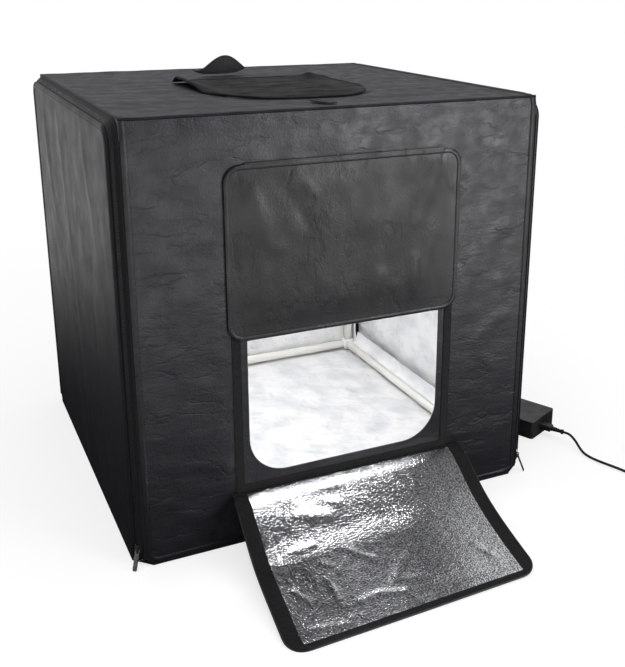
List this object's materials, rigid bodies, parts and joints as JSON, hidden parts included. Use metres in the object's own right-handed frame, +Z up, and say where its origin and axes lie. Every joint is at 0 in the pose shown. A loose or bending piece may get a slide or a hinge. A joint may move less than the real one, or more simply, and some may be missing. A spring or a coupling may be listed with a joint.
{
  "type": "light tent cube",
  "caption": "Cube-shaped light tent on a tube frame, with a flapped front window, flapped top opening, zip-off sides, sliding light bars and a mains adapter.",
  "frame": {"origin": "middle of the underside of the floor panel", "axes": "-Y towards the front with the window, +X to the right seen from the front, +Z up"},
  "size_m": [0.8662, 0.8401, 0.6317],
  "materials": {
    "shell_cloth": "coated cloth with a fine leather grain",
    "side_cloth": "coated cloth with a fine leather grain",
    "black_webbing": "woven, matt",
    "silver_lining": "silver coated, satin",
    "silver_foil": "crinkled silver foil on cloth",
    "white_tube": "smooth",
    "white_moulding": "satin",
    "slider_metal": "black enamel",
    "pull_metal": "satin plated",
    "bar_aluminium": "natural extrusion",
    "light_board": "white solder mask",
    "circuit_board": "green solder mask",
    "adapter_case": "fine texture",
    "moulded_rubber": "satin",
    "cord_sheath": "satin"
  },
  "bodies": {
    "tent": {"floor_panel": "shell_cloth", "front_panel": "shell_cloth", "back_panel": "shell_cloth", "top_panel": "shell_cloth", "left_edge_return": "shell_cloth", "right_edge_return": "shell_cloth", "inner_lining": "silver_lining", "window_border": "black_webbing", "top_hook_patch": "black_webbing", "front_bottom_tube": "white_tube", "back_bottom_tube": "white_tube", "left_bottom_tube": "white_tube", "right_bottom_tube": "white_tube", "front_top_tube": "white_tube", "back_top_tube": "white_tube", "left_top_tube": "white_tube", "right_top_tube": "white_tube", "front_left_post": "white_tube", "front_right_post": "white_tube", "back_left_post": "white_tube", "back_right_post": "white_tube", "front_left_bottom_corner": "white_moulding", "front_left_top_corner": "white_moulding", "front_right_bottom_corner": "white_moulding", "front_right_top_corner": "white_moulding", "back_left_bottom_corner": "white_moulding", "back_left_top_corner": "white_moulding", "back_right_bottom_corner": "white_moulding", "back_right_top_corner": "white_moulding", "left_zip_tape_shell": "black_webbing", "right_zip_tape_shell": "black_webbing", "adapter_tray": "adapter_case", "adapter_cover": "adapter_case", "adapter_circuit": "circuit_board", "mains_connector": "moulded_rubber", "mains_cord": "cord_sheath", "cord_coil": "cord_sheath", "cord_tie": "black_webbing", "mains_plug": "moulded_rubber"},
    "left_side": {"left_side_panel": "side_cloth", "left_side_lining": "silver_lining", "left_zip_tape_side": "black_webbing"},
    "right_side": {"right_side_panel": "side_cloth", "right_side_lining": "silver_lining", "right_zip_tape_side": "black_webbing"},
    "left_slider": {"left_zip_slider": "slider_metal"},
    "left_pull": {"left_zip_pull": "pull_metal"},
    "right_slider": {"right_zip_slider": "slider_metal"},
    "right_pull": {"right_zip_pull": "pull_metal"},
    "window_upper_flap": {"upper_flap": "shell_cloth", "upper_flap_binding": "black_webbing"},
    "window_lower_flap": {"lower_flap": "shell_cloth", "lower_flap_strips": "black_webbing", "lower_flap_lining": "silver_foil"},
    "roof_flap": {"top_flap": "shell_cloth"},
    "roof_tab": {"top_tab": "shell_cloth"},
    "front_light": {"front_light_housing": "bar_aluminium", "front_light_board": "light_board"},
    "back_light": {"back_light_housing": "bar_aluminium", "back_light_board": "light_board"}
  },
  "joints": [
    {"name": "left_side_hinge", "type": "hinge", "parent": "tent", "child": "left_side", "pos_m": [-0.31109, 0, 0.0018], "axis": [0, -1, 0], "range_deg": [0, 90]},
    {"name": "right_side_hinge", "type": "hinge", "parent": "tent", "child": "right_side", "pos_m": [0.31109, 0, 0.0018], "axis": [0, 1, 0], "range_deg": [0, 40]},
    {"name": "left_zip_slide", "type": "slide", "parent": "tent", "child": "left_slider", "axis": [0, 0, 1], "range_m": [0, 0.5]},
    {"name": "right_zip_slide", "type": "slide", "parent": "tent", "child": "right_slider", "axis": [0, 0, 1], "range_m": [0, 0.5]},
    {"name": "left_pull_hinge", "type": "hinge", "parent": "left_slider", "child": "left_pull", "pos_m": [-0.30685, -0.29576, 0.027], "axis": [-0.7071, 0.7071, 0], "range_deg": [0, 95]},
    {"name": "right_pull_hinge", "type": "hinge", "parent": "right_slider", "child": "right_pull", "pos_m": [0.30685, -0.29576, 0.027], "axis": [-0.7071, -0.7071, 0], "range_deg": [0, 95]},
    {"name": "upper_flap_hinge", "type": "hinge", "parent": "tent", "child": "window_upper_flap", "pos_m": [0, -0.30235, 0.535], "axis": [-1, 0, 0], "range_deg": [0, 170]},
    {"name": "lower_flap_hinge", "type": "hinge", "parent": "tent", "child": "window_lower_flap", "pos_m": [0, -0.3021, 0.08], "axis": [-1, 0, 0], "range_deg": [0, 107.2]},
    {"name": "top_flap_hinge", "type": "hinge", "parent": "tent", "child": "roof_flap", "pos_m": [0, 0.08, 0.60105], "axis": [-1, 0, 0], "range_deg": [0, 150]},
    {"name": "top_tab_hinge", "type": "hinge", "parent": "tent", "child": "roof_tab", "pos_m": [0, 0.172, 0.60105], "axis": [1, 0, 0], "range_deg": [-30, 30]},
    {"name": "front_light_slide", "type": "slide", "parent": "tent", "child": "front_light", "axis": [0, 1, 0], "range_m": [-0.06, 0.12]},
    {"name": "back_light_slide", "type": "slide", "parent": "tent", "child": "back_light", "axis": [0, 1, 0], "range_m": [-0.12, 0.09]}
  ]
}
